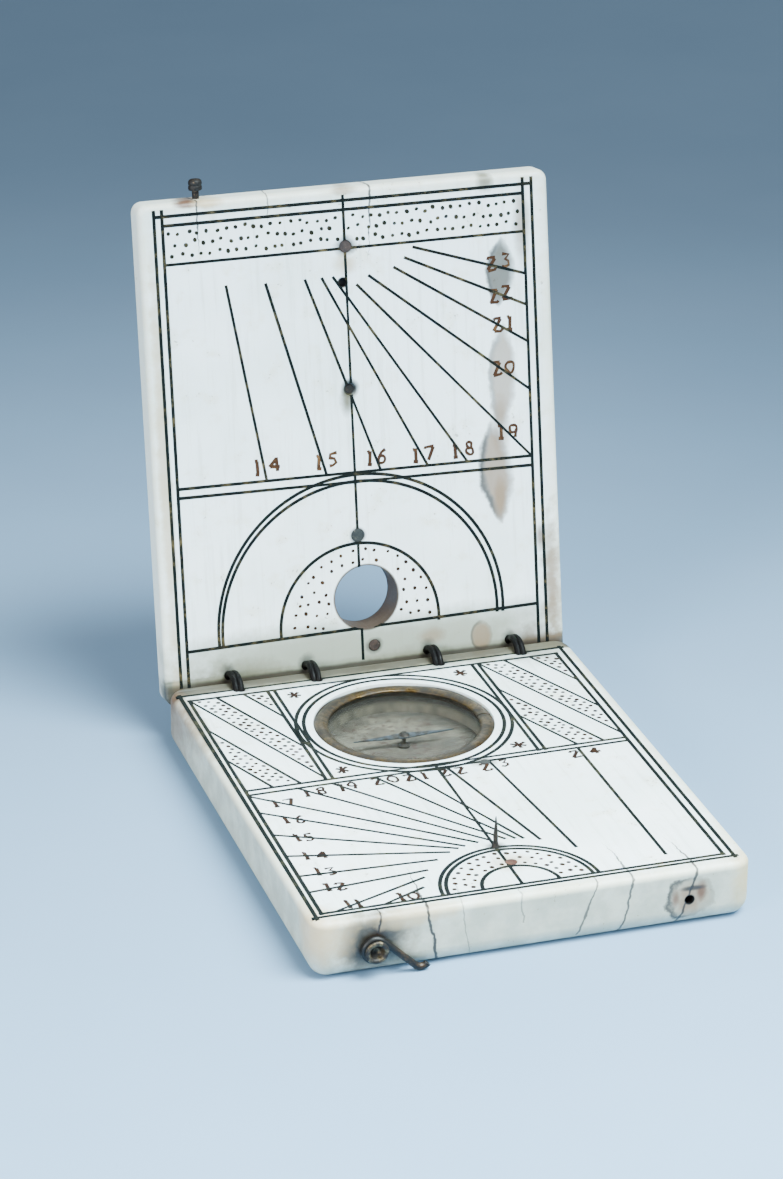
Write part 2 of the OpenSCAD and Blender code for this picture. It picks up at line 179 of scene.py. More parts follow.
def markAt(local, ragged, mark):
    # an oval or rounded oblong with a ragged rim, and the darker rim that some of them have
    spot = axes(mapped(local, "TEXTURE", Location=(*mark["at"], mark["deep"]),
                       Rotation=(0, 0, math.radians(mark["turn"])),
                       Scale=(*mark["size"], mark["through"])))
    power = mark["square"]
    powers = (power * 0.55 if mark["pointed"] else power, power, power)
    parts = [calc("POWER", calc("ABSOLUTE", part), each) for part, each in zip(spot, powers)]
    total = calc("ADD", calc("ADD", parts[0], parts[1]), parts[2])
    reach = calc("POWER", total, 1 / power)
    reach = calc("MULTIPLY_ADD", ragged, mark["rag"], reach)
    inside = soften(reach, mark["soft"], 1.05, 1.0, 0.0)
    rim = calc("MULTIPLY", soften(reach, 0.72, 0.92), soften(reach, 0.92, 1.06, 1.0, 0.0))
    rim = calc("MULTIPLY", rim, soften(spot[0], -0.5, 0.2, 1.0, 0.12))
    return inside, rim


def ivoryGround(noises, ragged, spot, wear):
    # the pale ivory, browned by handling at its borders, with painted shade on its walls, and browning with
    # painted shade in the crease at its heel
    x, fromEdge, depth = spot
    mottle = noises["mottle"]
    ground = mixTone(soften(noises["cloud"], 0.38, 0.66), ivoryLook["milky"], ivoryLook["pale"])
    ground = mixTone(soften(mottle, 0.52, 0.75, 0.0, 0.35), ground, ivoryLook["cream"])
    ground = mixTone(soften(noises["grain"], 0.5, 0.72, 0.0, 0.32), ground, ivoryLook["grey"])

    sideGap = calc("SUBTRACT", leaf["width"] / 2, calc("ABSOLUTE", x))
    heelGap = calc("SUBTRACT", leaf["length"], fromEdge)
    gap = calc("MINIMUM", sideGap, calc("MINIMUM", fromEdge, heelGap))
    gap = calc("MULTIPLY_ADD", ragged, 5.0, gap)
    ground = mixTone(soften(gap, -0.6, 4.2, wear["border"], 0.0), ground, ivoryLook["cream"])

    # painted shade: the walls below the face take the leaf's wall tone, darker on the base and lighter on
    # the lid for how the light falls
    wall = soften(depth, -1.4, -0.3, 0.85, 0.0)
    wall = calc("MULTIPLY", wall, soften(mottle, 0.3, 0.65, 0.6, 1.0))
    ground = mixTone(wall, ground, wear["wall"])

    # heel: browning from handling, with painted shade darkening the crease between the two leaves
    heel = calc("MULTIPLY_ADD", ragged, 1.6, heelGap)
    heel = soften(heel, wear["heel"] - 0.6, wear["heel"] + 0.6, 1.0, 0.0)
    heel = calc("MULTIPLY", heel, soften(depth, -2.2, -0.5, 0.3, 1.0))
    for hue, reach in (("seamBrownAndShade", (0.34, 0.58, 0.92, 1.0)), ("dark", (0.54, 0.61, 0.0, 0.85))):
        streak = calc("MULTIPLY", heel, soften(noises["along"], *reach))
        ground = mixTone(streak, ground, ivoryLook[hue])

    freckle = calc("MULTIPLY", noises["grit"], soften(mottle, 0.4, 0.7, 0.6, 1.15))
    return mixTone(soften(freckle, 0.7, 0.78, 0.0, 0.5), ground, ivoryLook["brown"])


def ivoryFinish(name, place, edgeY, side, wear, shift):
    # edgeY is where the free edge lies on the leaf, and side says which way the hinge is from there
    finish, shader, local = newFinish(name, place)
    x, y, depth = axes(local)
    fromEdge = calc("MULTIPLY", calc("SUBTRACT", y, edgeY), side)
    moved = mapped(local, Location=shift)
    noises = {kind: speckle(moved, **ivoryLook[kind])
              for kind in ("cloud", "mottle", "grain", "fine", "grit", "ragged", "along", "bend")}
    ragged = calc("SUBTRACT", noises["ragged"], 0.5)
    ground = ivoryGround(noises, ragged, (x, fromEdge, depth), wear)

    for mark in wear["marks"]:
        inside, rim = markAt(local, ragged, mark)
        for mask, strength, hue in ((inside, mark["strength"], mark["tone"]),
                                    (rim, mark["rim"], ivoryLook["dark"])):
            if strength:
                covered = calc("POWER", calc("MULTIPLY", mask, strength), ivoryLook["markLift"])
                ground = mixTone(covered, ground, hue)

    bend = calc("MULTIPLY", calc("SUBTRACT", noises["bend"], 0.5), ivoryLook["crackBend"])
    split = 0.0
    for crack in wear["cracks"]:
        split = calc("MAXIMUM", split, crackAcross((x, fromEdge, depth, bend), crack))
    ground = mixTone(split, ground, ivoryLook["dark"])

    polish = soften(noises["mottle"], 0.3, 0.7, 0.36, 0.5)
    height = calc("MULTIPLY_ADD", noises["grain"], 0.6, calc("MULTIPLY", noises["fine"], 0.4))
    height = calc("MULTIPLY_ADD", split, ivoryLook["crackDepth"], height)
    feed(shader, {
        "Base Color": ground,
        "Roughness": calc("MULTIPLY_ADD", noises["grain"], 0.08, polish),
        "Normal": raised(height, ivoryLook["bump"], ivoryLook["bumpDepth"]),
        "IOR": ivoryLook["bending"], "Subsurface Weight": ivoryLook["glow"],
        "Subsurface Radius": ivoryLook["glowDepth"], "Subsurface Scale": 1.0,
    })
    return finish


warmStain = tone(188, 168, 132)
tanStain = tone(126, 100, 72)
slateStain = tone(70, 65, 54)
rustStain = tone(92, 56, 32)
oliveStain = tone(92, 86, 60)
sootAndShade = tone(38, 28, 20)
blackStainAndShade = tone(10, 8, 6)
# soiling round the ring holes, with the ring wires' shadows painted in as well
ringHoleStainsAndShadows = [patch((x + 0.3, 40.0), (1.9, 1.7), blackStainAndShade, 0.85, 0.8, 0.1) for x in hinge["rings"]]
lidRingHoleStainsAndShadows = [patch((x - 0.2, 4.6), (1.7, 2.2), blackStainAndShade, 0.8, 0.9, 0.0) for x in hinge["rings"]]
baseWearAndShade = {
    # wall is painted shade: the base's side walls are darkened for the light falling on them
    "wall": tone(154, 156, 142), "heel": 4.3, "border": 0.75,
    "marks": [
        patch((0.0, 41.5), (37.4, 4.4), tone(132, 128, 106), 0.62, 1.0, 0.5, square=5.0),
        patch((-27.0, -44.4), (8.4, 5.0), tone(84, 62, 38), 0.85, 0.9, 0.0, deep=-4.6, through=7.4),
        patch((-26.9, -44.4), (6.2, 4.6), blackStainAndShade, 0.95, 0.8, 0.15, deep=-4.7, through=5.4),
        patch((-26.3, -44.0), (2.0, 2.6), sootAndShade, 0.85, 0.8, 0.1, deep=-1.6, through=3.0),
        # painted shade: the ivory inside the compass well is darkened as if shaded by the bezel
        patch((-1.5, 19.3), (14.6, 14.6), sootAndShade, 1.0, 0.0, 0.97, deep=-3.4, through=3.1, square=8.0),
        patch((25.8, -44.4), (4.4, 2.6), tanStain, 0.75, 0.9, 0.3, deep=-5.2, through=3.7, rim=0.8),
        patch((27.8, -44.3), (1.0, 2.0), rustStain, 0.8, 0.8, 0.2, deep=-4.2, through=2.2),
        patch((23.4, -44.3), (0.8, 2.0), rustStain, 0.6, 0.8, 0.2, deep=-4.9, through=2.0),
        # painted shade: the inside of the spare bore at the front is coloured black
        patch((25.8, -41.0), (0.98, 12.0), blackStainAndShade, 1.0, 0.1, 0.85, deep=-5.4, through=0.98),
        patch((26.3, -44.2), (2.5, 2.4), sootAndShade, 0.9, 0.6, 0.3, deep=-3.4, through=0.55),
        patch((-0.6, -33.2), (4.2, 3.2), warmStain, 0.6, 0.7, 0.1),
        patch((-1.3, -27.8), (2.0, 1.9), sootAndShade, 0.95, 0.6, 0.2),
        patch((6.6, 1.2), (2.6, 2.0), oliveStain, 0.75, 0.8, 0.2),
        # darkened along the base's rear edge under the lid: browning with painted shade in the crease
        patch((0.0, 42.7), (36.6, 2.8), tone(46, 38, 27), 0.7, 0.9, 0.6, square=6.0),
        patch((30.0, 38.5), (7.0, 6.0), oliveStain, 0.35, 1.0, 0.0),
        patch((-35.5, 30.0), (2.2, 16.0), tanStain, 0.5, 0.9, 0.2),
        patch((-36.5, -43.0), (7.0, 8.0), tone(206, 178, 134), 0.7, 0.8, 0.1, deep=-2.0, through=6.0),
        patch((36.5, -43.6), (4.0, 6.0), tone(196, 170, 112), 0.6, 0.9, 0.1, deep=-4.0, through=7.0),
        patch((-36.6, 38.0), (2.0, 12.0), rustStain, 0.45, 1.0, 0.0, deep=-4.0, through=8.0),
        patch((-20.0, -43.6), (9.0, 1.6), warmStain, 0.6, 1.0, 0.2, deep=-1.0, through=2.0),
    ] + ringHoleStainsAndShadows,
    "cracks": [  # start, slope on the face, slope in depth, length, width, strength, depth
        (-18.0, 0.06, -0.18, 15, 0.34, 0.95, 11),
        (-12.4, 0.14, -0.14, 11, 0.16, 0.45, 11),
        (-2.6, 0.1, -0.1, 4, 0.18, 0.5, 5),
        (10.3, 0.0, 0.386, 4, 0.26, 0.8, 9),
        (16.3, -0.05, 0.23, 14, 0.3, 0.85, 10),
        (27.3, -0.13, 0.35, 13, 0.32, 0.9, 11),
        (-25.7, 0.0, 0.2, 4, 0.3, 0.95, 5),
    ],
}
lidWearAndShade = {
    # wall is painted shade, lighter than the base's, since the lid's top edge faces the light
    "wall": tone(224, 230, 222), "heel": 4.5, "border": 0.55,
    "marks": [
        # partly painted shadow: the lid's low band over the base is darkened for shade as well as for age
        patch((0.0, 3.6), (40.0, 8.6), tone(138, 142, 124), 0.85, 0.35, 0.55, square=6.0),
        patch((27.3, 70.8), (2.7, 5.9), slateStain, 0.85, 0.35, rim=0.75, pointed=True, turn=-4),
        patch((27.0, 52.5), (2.6, 9.5), tanStain, 0.62, 0.4, rim=0.35, pointed=True, turn=-3),
        patch((26.4, 43.0), (2.0, 6.5), tanStain, 0.4, 0.4, 0.3),
        patch((25.2, 35.0), (3.1, 8.8), tanStain, 0.8, 0.35, rim=0.8, pointed=True, turn=5),
        patch((25.8, 30.4), (1.5, 4.6), tanStain, 0.55, 0.5, 0.3),
        patch((21.3, 5.8), (2.0, 2.8), tanStain, 0.6, 0.4, 0.6, rim=0.4),
        patch((12.0, 7.0), (3.0, 1.6), tanStain, 0.4, 0.9, 0.2),
        patch((25.2, 87.0), (1.7, 2.6), oliveStain, 0.7, 0.8, 0.2),
        patch((31.6, 79.0), (1.9, 8.0), tanStain, 0.6, 0.8, 0.2),
        patch((-27.8, 87.6), (2.9, 0.9), rustStain, 0.95, 0.6, 0.4, deep=-1.5),
        patch((-24.4, 87.4), (3.4, 1.0), warmStain, 0.8, 0.8, 0.3, deep=-1.5),
        patch((-0.2, 87.4), (2.6, 1.0), tanStain, 0.6, 0.8, 0.3, deep=-1.5),
        patch((22.0, 60.0), (9.0, 16.0), warmStain, 0.22, 2.4, 0.0, deep=-6.0, through=2.0),
        patch((-18.0, 26.0), (14.0, 9.0), warmStain, 0.2, 2.4, 0.0, deep=-6.0, through=2.0),
        # painted shade: the bore of the pin hole is coloured black right through the lid
        patch((-1.3, 71.6), (1.0, 1.0), blackStainAndShade, 1.0, 0.1, 0.8, through=40),
        patch((-0.9, 52.9), (1.7, 1.9), blackStainAndShade, 0.95, 0.4, 0.5),
        patch((-1.5, 50.6), (1.5, 2.7), oliveStain, 0.9, 0.6, 0.1),
        patch((-0.5, 77.8), (2.2, 2.0), sootAndShade, 0.9, 0.8, 0.3),
        patch((-0.6, 74.8), (2.6, 2.2), warmStain, 0.7, 0.9, 0.1),
        patch((-0.7, 26.7), (1.6, 1.6), sootAndShade, 0.85, 0.6, 0.5),
        patch((1.4, 6.5), (1.7, 1.6), sootAndShade, 0.85, 0.8, 0.3),
        patch((34.9, 14.0), (2.4, 15.0), tanStain, 0.75, 1.5, 0.1),
        patch((32.9, 22.5), (0.9, 3.0), rustStain, 0.6, 0.8, 0.1),
        patch((-24.0, 3.0), (11.0, 4.6), oliveStain, 0.5, 1.0, 0.0),
        patch((8.0, 3.0), (9.0, 3.0), oliveStain, 0.35, 1.0, 0.0),
        patch((30.5, 3.4), (6.0, 4.0), rustStain, 0.45, 1.0, 0.0),
        patch((-34.6, 40.0), (1.3, 46.0), warmStain, 0.55, 0.9, 0.3),
        # painted shadow along the lid's foot, where it meets the base
        patch((0.0, 1.5), (40.0, 2.5), sootAndShade, 0.8, 0.2, 0.8, square=6.0),
        # painted shade: the wall of the sighting aperture is coloured dark brown
        patch((0.3, 15.4), (5.87, 5.87), tone(62, 49, 37), 1.0, 0.02, 0.99, through=100),
    ] + lidRingHoleStainsAndShadows,
    "cracks": [
        (-26.3, -0.02, 0.1, 10.6, 0.24, 0.9, 6),
        (-14.0, 0.03, -0.1, 5.7, 0.24, 0.7, 6),
        (4.5, -0.08, 0.15, 14.2, 0.26, 0.9, 6),
    ],
}
baseIvory = ivoryFinish("base ivory", onBase, -leaf["length"] / 2, 1.0, baseWearAndShade, (13, -41, 7))
lidIvory = ivoryFinish("lid ivory", onLid, leaf["length"], -1.0, lidWearAndShade, (-61, 22, 35))
print("ivory ready")


# pigment, metals, fillings, paper and glass

def pigmentFinish(name, place, dark, worn, amount):
    # a dry filling, worn pale in places
    finish, shader, local = newFinish(name, place)
    wear = calc("MULTIPLY_ADD", speckle(local, 0.06, 3, 0.6), 0.6,
                speckle(local, 0.5, 4, 0.65, shift=(9, 4, 2)))
    crumb = speckle(local, 5.0, 3, 0.6)
    gone = soften(calc("MULTIPLY_ADD", crumb, 0.25, wear), 0.92, 1.2, 0.0, amount)
    feed(shader, {
        "Base Color": mixTone(gone, dark, worn),
        "Roughness": soften(crumb, 0.3, 0.7, 0.62, 0.85),
        "Normal": raised(crumb, 0.5, 0.05), "Specular IOR Level": 0.12,
    })
    return finish


def metalFinish(name, **look):
    # brushed metal under a patina, which is thicker in cloudy patches, in pits and near wearFrom
    look = {"patch": 0.5, "stretch": (1, 1, 1), "bump": 0.3, "shine": 0.5, "wearFrom": None, **look}
    finish, shader, local = newFinish(name)
    cloud = speckle(local, look["patch"], 4, 0.62)
    pits = speckle(local, 3.5, 3, 0.6)
    brushed = speckle(local, 2.2, 3, 0.7, stretch=look["stretch"])
    dull = soften(calc("MULTIPLY_ADD", pits, 0.3, cloud), *look["dulled"])
    hue = mixTone(soften(brushed, 0.35, 0.7), look["bright"], look["mid"])
    if look["wearFrom"]:
        away = calc("MULTIPLY_ADD", cloud, 2.0, distance(local, look["wearFrom"]))
        dull = calc("MAXIMUM", dull, soften(away, *look["wearReach"], 1.0, 0.0))
    feed(shader, {
        "Base Color": mixTone(dull, hue, look["patina"]),
        "Metallic": soften(dull, 0.0, 1.0, look["metal"], look["metal"] * 0.45),
        "Roughness": soften(dull, 0.0, 1.0, *look["rough"]),
        "Normal": raised(calc("ADD", pits, brushed), look["bump"], 0.05),
        "Specular IOR Level": look["shine"],
    })
    return finish


def fillingFinish(name, dark, light):
    finish, shader, local = newFinish(name)
    lump = speckle(local, 0.9, 4, 0.65)
    fleck = speckle(local, 4.0, 2, 0.5)
    hue = mixTone(soften(lump, 0.35, 0.68), dark, light)
    hue = mixTone(soften(fleck, 0.66, 0.78, 0.0, 0.4), hue, tone(196, 186, 168))
    feed(shader, {"Base Color": hue, "Roughness": soften(fleck, 0.3, 0.7, 0.45, 0.75),
                  "Normal": raised(lump, 0.6, 0.12)})
    return finish


lineDark = tone(8, 15, 14)
linePigmentBase = pigmentFinish("green black filling", onBase, lineDark, tone(70, 66, 46), 0.6)
linePigmentLid = pigmentFinish("green black filling of the lid", onLid, lineDark, tone(92, 80, 54), 0.85)
brownPigment = pigmentFinish("brown punched filling", None, tone(34, 19, 10), tone(74, 48, 27), 0.7)
palePigment = pigmentFinish("worn brown filling", None, tone(58, 36, 22), tone(116, 84, 54), 0.8)
dotPigment = pigmentFinish("green brown punched filling", None, tone(26, 26, 16), tone(80, 72, 48), 0.7)
ringMetal = metalFinish(
    "black ring wire", bright=tone(16, 13, 12), mid=tone(8, 7, 6), patina=tone(5, 4, 4),
    dulled=(0.42, 0.7), metal=0.1, rough=(0.26, 0.55), bump=0.6, shine=0.1)
bezelMetal = metalFinish(
    "tarnished bezel brass", bright=tone(96, 75, 42), mid=tone(66, 50, 28), patina=tone(32, 24, 14),
    dulled=(0.44, 0.8), metal=0.92, rough=(0.27, 0.55), patch=0.35, bump=0.25)
studMetal = metalFinish(
    "worn stud brass", bright=tone(150, 126, 96), mid=tone(84, 62, 42), patina=tone(16, 11, 8),
    dulled=(0.38, 0.58), metal=0.8, rough=(0.34, 0.6), patch=0.6, bump=0.4)
hookMetal = metalFinish(
    "dark hook bronze", bright=tone(112, 84, 56), mid=tone(62, 44, 30), patina=tone(12, 9, 7),
    dulled=(0.42, 0.7), metal=0.85, rough=(0.3, 0.48), patch=0.7, bump=0.35,
    wearFrom=(-26.8, -44.7, 4.8), wearReach=(3.6, 8.2))
rivetMetal = metalFinish(
    "dark hollow rivet", bright=tone(118, 104, 80), mid=tone(70, 58, 42), patina=tone(24, 18, 13),
    dulled=(0.44, 0.7), metal=0.85, rough=(0.32, 0.6), patch=0.9, bump=0.5)
pivotMetal = metalFinish(
    "pivot brass", bright=tone(46, 36, 24), mid=tone(32, 25, 17), patina=tone(18, 14, 10),
    dulled=(0.45, 0.75), metal=0.6, rough=(0.5, 0.75), patch=1.2)
needleMetal = metalFinish(
    "blued needle steel", bright=tone(52, 66, 78), mid=tone(38, 50, 60), patina=tone(34, 30, 26),
    dulled=(0.5, 0.8), metal=0.4, rough=(0.5, 0.75), stretch=(0.1, 1, 1), patch=0.8)
rustMetal = metalFinish(
    "rusted iron", bright=tone(50, 36, 22), mid=tone(32, 22, 14), patina=tone(14, 10, 7),
    dulled=(0.4, 0.7), metal=0.4, rough=(0.5, 0.85), patch=1.6, bump=0.8)
redFilling = fillingFinish("red wax filling", tone(60, 28, 16), tone(94, 60, 40))
greyFilling = fillingFinish("grey wax filling", tone(14, 18, 18), tone(38, 40, 37))
brownFilling = fillingFinish("brown wax filling", tone(30, 19, 15), tone(58, 42, 34))

compass = {"at": (-1.5, 19.3), "floor": 5.65, "cardTop": 5.4, "glassTop": 9.0, "rim": 13.0, "outer": 15.44,
           "seat": 9.56, "crown": 10.14, "splitAt": -2.0, "split": 0.9, "bezelSteps": 120,
           "lining": (13.4, 13.47), "liningTop": 8.6}


def compassPlace(level=None):
    # the middle of the compass, at one of its named heights or on the table
    return Matrix.Translation((*compass["at"], compass[level] if level else 0))


def cardFinish():
    # the floor of the compass: foxed paper on wood, darker towards the front, with painted shade round its
    # rim
    finish, shader, local = newFinish("foxed compass floor", compassPlace("cardTop"))
    cloud = speckle(local, 0.16, 5, 0.62, warp=0.6)
    streak = speckle(local, 0.5, 4, 0.6, stretch=(0.35, 1, 1))
    spots = speckle(local, 0.8, 4, 0.7)
    near = axes(local)[1]
    shade = soften(calc("MULTIPLY_ADD", cloud, -9.0, near), -9.0, 1.0, 0.6, 0.0)
    hue = mixTone(soften(cloud, 0.36, 0.64), tone(66, 61, 50), tone(104, 99, 84))
    hue = mixTone(shade, hue, tone(34, 25, 19))
    hue = mixTone(soften(streak, 0.45, 0.7, 0.0, 0.6), hue, tone(38, 40, 37))
    hue = mixTone(soften(spots, 0.5, 0.66, 0.0, 0.8), hue, tone(48, 24, 17))
    # painted shade round the rim, where the wall and bezel overhang the floor
    hue = mixTone(soften(distance(local), 9.0, 13.5, 0.0, 0.55), hue, tone(22, 18, 14))
    feed(shader, {"Base Color": hue, "Roughness": soften(streak, 0.3, 0.7, 0.6, 0.9),
                  "Normal": raised(calc("ADD", cloud, streak), 0.5, 0.15)})
    return finish


def glassFinish():
    # old flat glass, with a thin film of dust that thickens towards the bezel
    finish, shader, local = newFinish("old compass glass", compassPlace("glassTop"))
    ripple = speckle(local, 0.12, 2, 0.5)
    dust = speckle(local, 0.7, 4, 0.65)
    film = calc("MULTIPLY", soften(distance(local), 7.0, 13.5, 0.35, 1.0), soften(dust, 0.4, 0.8, 0.2, 1.0))
    feed(shader, {
        "Base Color": mixTone(dust, tone(124, 124, 110), tone(96, 92, 78)),
        "Roughness": soften(dust, 0.4, 0.8, 0.03, 0.12),
        "Alpha": soften(film, 0.0, 1.0, 0.02, 0.07),
        "Normal": raised(ripple, 0.25, 0.3),
        "IOR": 1.4,
    })
    return finish


def liningFinish():
    # the well's wall is lined with brown paper; it darkens to nearly black towards the top, which is
    # painted shade under the bezel
    finish, shader, local = newFinish("well lining with painted shade")
    mark = speckle(local, 0.5, 4, 0.6, stretch=(1, 1, 0.4))
    height = axes(local)[2]
    # painted shade under the bezel, towards the top of the lining
    paintedBezelShade = soften(calc("MULTIPLY_ADD", mark, 0.8, height), 7.3, 8.7)
    hue = mixTone(soften(mark, 0.35, 0.7), tone(62, 58, 49), tone(92, 87, 73))
    feed(shader, {"Base Color": mixTone(paintedBezelShade, hue, blackStainAndShade), "Normal": raised(mark, 0.4, 0.1),
                  "Roughness": soften(mark, 0.3, 0.7, 0.7, 0.95)})
    return finish


liningPaper = liningFinish()
cardPaper = cardFinish()
oldGlass = glassFinish()
print("finishes ready")


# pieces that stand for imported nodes, and the small work that the solids leave out

def meshFrom(build, name):
    mesh = bpy.data.meshes.new(name)
    build.to_mesh(mesh)
    build.free()
    return mesh


def place(build, name, body, finish, slot, at=None, replaced=(), sharp=None):
    # a bmesh in millimetres becomes a piece in metres, shaded smooth up to the given angle
    bmesh.ops.remove_doubles(build, verts=build.verts, dist=0.0005)
    bmesh.ops.recalc_face_normals(build, faces=build.faces)
    build.transform(toMetres @ (at or Matrix.Identity(4)))
    register(meshFrom(build, name), name, body, finish, replaced, sharp)


def dress(mesh, finish):
    mesh.materials.clear()
    mesh.materials.append(finish)


def register(mesh, name, body, finish, replaced=(), sharp=None):
    if sharp:  # degrees
        mesh.shade_smooth()
        mesh.set_sharp_from_angle(angle=math.radians(sharp))
    dress(mesh, finish)
    piece = bpy.data.objects.new(name, mesh)
    bpy.context.collection.objects.link(piece)
    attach(piece, body)
    if replaced:
        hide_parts(*replaced)
    for node in replaced:
        dress(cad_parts[node].data, finish)


def welded(node):
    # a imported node's mesh is loose triangles, so a copy is merged before it is worked on
    build = bmesh.new()
    build.from_mesh(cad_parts[node].data)
    bmesh.ops.remove_doubles(build, verts=build.verts, dist=0.000002)
    return build


def smoothLeaf(node, name, body, holder, finish):
    # the leaf as packed, its rounded edges shaded smooth and its flat faces flat
    build = welded(node)
    squared = holder.to_3x3().inverted()
    flat = [max(abs(part) for part in squared @ face.normal) > 0.9998 for face in build.faces]
    mesh = meshFrom(build, name)
    register(mesh, name, body, finish, [node], 35)
    mesh.polygons.foreach_set("use_smooth", [not level for level in flat])


lineWork = {"baseWider": 0.135, "lidWider": 0.09, "proud": 0.026, "sunk": 0.02, "sharpest": 0.6}


def filledLines(node, name, body, holder, finish, wider):
    # the pigment stands a little over the edges of the engraved lines, as it does when it is rubbed in
    build = welded(node)
    build.normal_update()
    up = holder.to_3x3() @ Vector((0, 0, 1))
    pushes = []
    for vert in build.verts:
        walls = [face.normal for face in vert.link_faces if abs(face.normal.dot(up)) < 0.5]
        mitre = Vector()
        for wall in {tuple(round(part, 3) for part in normal): normal for normal in walls}.values():
            mitre += wall
        mitre -= up * mitre.dot(up)  # slivers have slanting normals, and the lines stay under the shut lid
        if mitre.length > 0.1:
            mitre.normalize()
            mitre *= wider / max(lineWork["sharpest"], min(mitre.dot(wall) for wall in walls))
        pushes.append(mitre + up * (lineWork["proud"] if vert.normal.dot(up) > 0 else -lineWork["sunk"]))
    for vert, push in zip(build.verts, pushes):
        vert.co += push * 0.001
    register(meshFrom(build, name), name, body, finish, [node])


noise.seed_set(7)  # the vector noise takes a new seed from the clock otherwise


def wander(build, amount, pitch, shift=0.0, keep=None):
    # moves each vertex a little along a smooth noise, as filing and wear leave it
    for vert in build.verts:
        push = noise.noise_vector(vert.co * pitch + Vector((shift, shift * 0.7, -shift)))
        vert.co += push * amount * (keep(vert.co) if keep else 1.0)


def turned(profile, steps):
    # a lathe shape about Z from pairs of radius and height
    build = bmesh.new()
    chain = [build.verts.new((radius, 0, height)) for radius, height in profile]
    edges = [build.edges.new(pair) for pair in zip(chain, chain[1:])]
    bmesh.ops.spin(build, geom=chain + edges, cent=(0, 0, 0), axis=(0, 0, 1), dvec=(0, 0, 0),
                   angle=math.radians(360), steps=steps, use_merge=True, use_duplicate=False)
    return build


def drawnOn(build, geom, centre, axis, sweep, steps, drift=(0, 0, 0)):
    # sweeps the end of a wire on round a centre, or along the drift, and gives the new end
    return bmesh.ops.spin(build, geom=geom, cent=centre, axis=axis, dvec=[part / steps for part in drift],
                          angle=math.radians(sweep), steps=steps, use_duplicate=False)["geom_last"]


smoothLeaf("base_leaf", "base_tablet", "base", onBase, baseIvory)
smoothLeaf("lid_leaf", "lid_tablet", "lid", onLid, lidIvory)
filledLines("base_lines", "base_pigment_lines", "base", onBase, linePigmentBase, lineWork["baseWider"])
filledLines("lid_lines", "lid_pigment_lines", "lid", onLid, linePigmentLid, lineWork["lidWider"])


# hinge rings: each is one wire wound twice, its ends and its cross-over hidden inside the base

ringWork = {"radius": 3.5, "wire": 1.12, "step": 0.86, "hidden": 222.0, "crossing": 56.0, "sides": 14,
            "turnSteps": 44, "crossSteps": 10, "uneven": 0.06, "unevenPitch": 0.9}


def woundRing(number, x):
    build = bmesh.new()
    crossing, step = ringWork["crossing"], ringWork["step"]
    start = math.radians(ringWork["hidden"] + crossing / 2)
    atStart = (Matrix.Translation((-step / 2, 0, 0)) @ Matrix.Rotation(start, 4, "X")
               @ Matrix.Translation((0, ringWork["radius"], 0)))
    bmesh.ops.create_circle(build, cap_ends=True, segments=ringWork["sides"], radius=ringWork["wire"] / 2,
                            matrix=atStart)
    geom = list(build.verts) + list(build.edges) + list(build.faces)
    turn = (360 - crossing, ringWork["turnSteps"], (0, 0, 0))
    for sweep, steps, drift in (turn, (crossing, ringWork["crossSteps"], (step, 0, 0)), turn):
        geom = drawnOn(build, geom, (0, 0, 0), (1, 0, 0), sweep, steps, drift)
    wander(build, ringWork["uneven"], ringWork["unevenPitch"], shift=3.7 * number)
    place(build, f"ring_wire_{number}", "base", ringMetal, "ring_wire",
          Matrix.Translation((x, hinge["y"], hinge["z"])), [f"hinge_ring_{number}"], 60)


for number, x in enumerate(hinge["rings"], 1):
    woundRing(number, x)
print("leaves and rings ready")


# compass: split bezel, lined well, blued needle

def compassBezel():
    low, high, inner, outer = compass["seat"], compass["crown"], compass["rim"], compass["outer"]
    section = ((inner, low), (inner - 0.02, low + 0.16), (inner + 0.16, low + 0.36),
               (inner + 0.5, high - 0.1), (inner + 0.95, high), (inner + 1.5, high - 0.04),
               (outer - 0.55, high - 0.17), (outer - 0.2, low + 0.24), (outer, low + 0.06), (outer, low))
    build = bmesh.new()
    chain = [build.verts.new((radius, 0, height)) for radius, height in section]
    geom = chain + [build.faces.new(chain)]
    drawnOn(build, geom + list(build.edges), (0, 0, 0), (0, 0, 1), 360 - compass["split"],
            compass["bezelSteps"])
    for amount, pitch, shift in ((0.07, 0.45, 2.0), (0.035, 2.2, 8.0)):  # dents, then scratches
        wander(build, amount, pitch, shift, keep=lambda spot: 1.0 if spot.z > low + 0.1 else 0.0)
    place(build, "bezel_ring", "base", bezelMetal, "bezel_brass",
          compassPlace() @ Matrix.Rotation(math.radians(compass["splitAt"]), 4, "Z"), ["compass_bezel"], 50)


def wellLining():
    (inner, outer), low, high = compass["lining"], compass["floor"] + 0.02, compass["liningTop"]
    build = turned(((inner, low), (inner, high), (outer, high), (outer, low), (inner, low)), 96)
    place(build, "well_lining", "base", liningPaper, "card", compassPlace(), (), 40)


needle = {"half": 9.0, "halfWide": 0.95, "thick": 0.2, "ridge": 0.1, "height": 7.55}


def compassNeedle():
    # a long lozenge with a ridge along each arm
    build = bmesh.new()
    bmesh.ops.create_circle(build, cap_ends=True, segments=4, radius=1.0)
    build.transform(Matrix.Diagonal((needle["half"], needle["halfWide"], 1.0, 1.0)))
    sides = bmesh.ops.extrude_face_region(build, geom=list(build.faces))
    top = [item for item in sides["geom"] if isinstance(item, bmesh.types.BMFace)]
    bmesh.ops.translate(build, verts=[vert for face in top for vert in face.verts],
                        vec=(0, 0, needle["thick"]))
    bmesh.ops.poke(build, faces=top, offset=needle["ridge"])
    place(build, "needle_blade", "needle", needleMetal, "needle_steel",
          compassPlace() @ Matrix.Translation((0, 0, needle["height"])), ["compass_needle"], 20)


compassBezel()
compassNeedle()
print("compass ready")


# pins, fillings, rivet, hook and stud

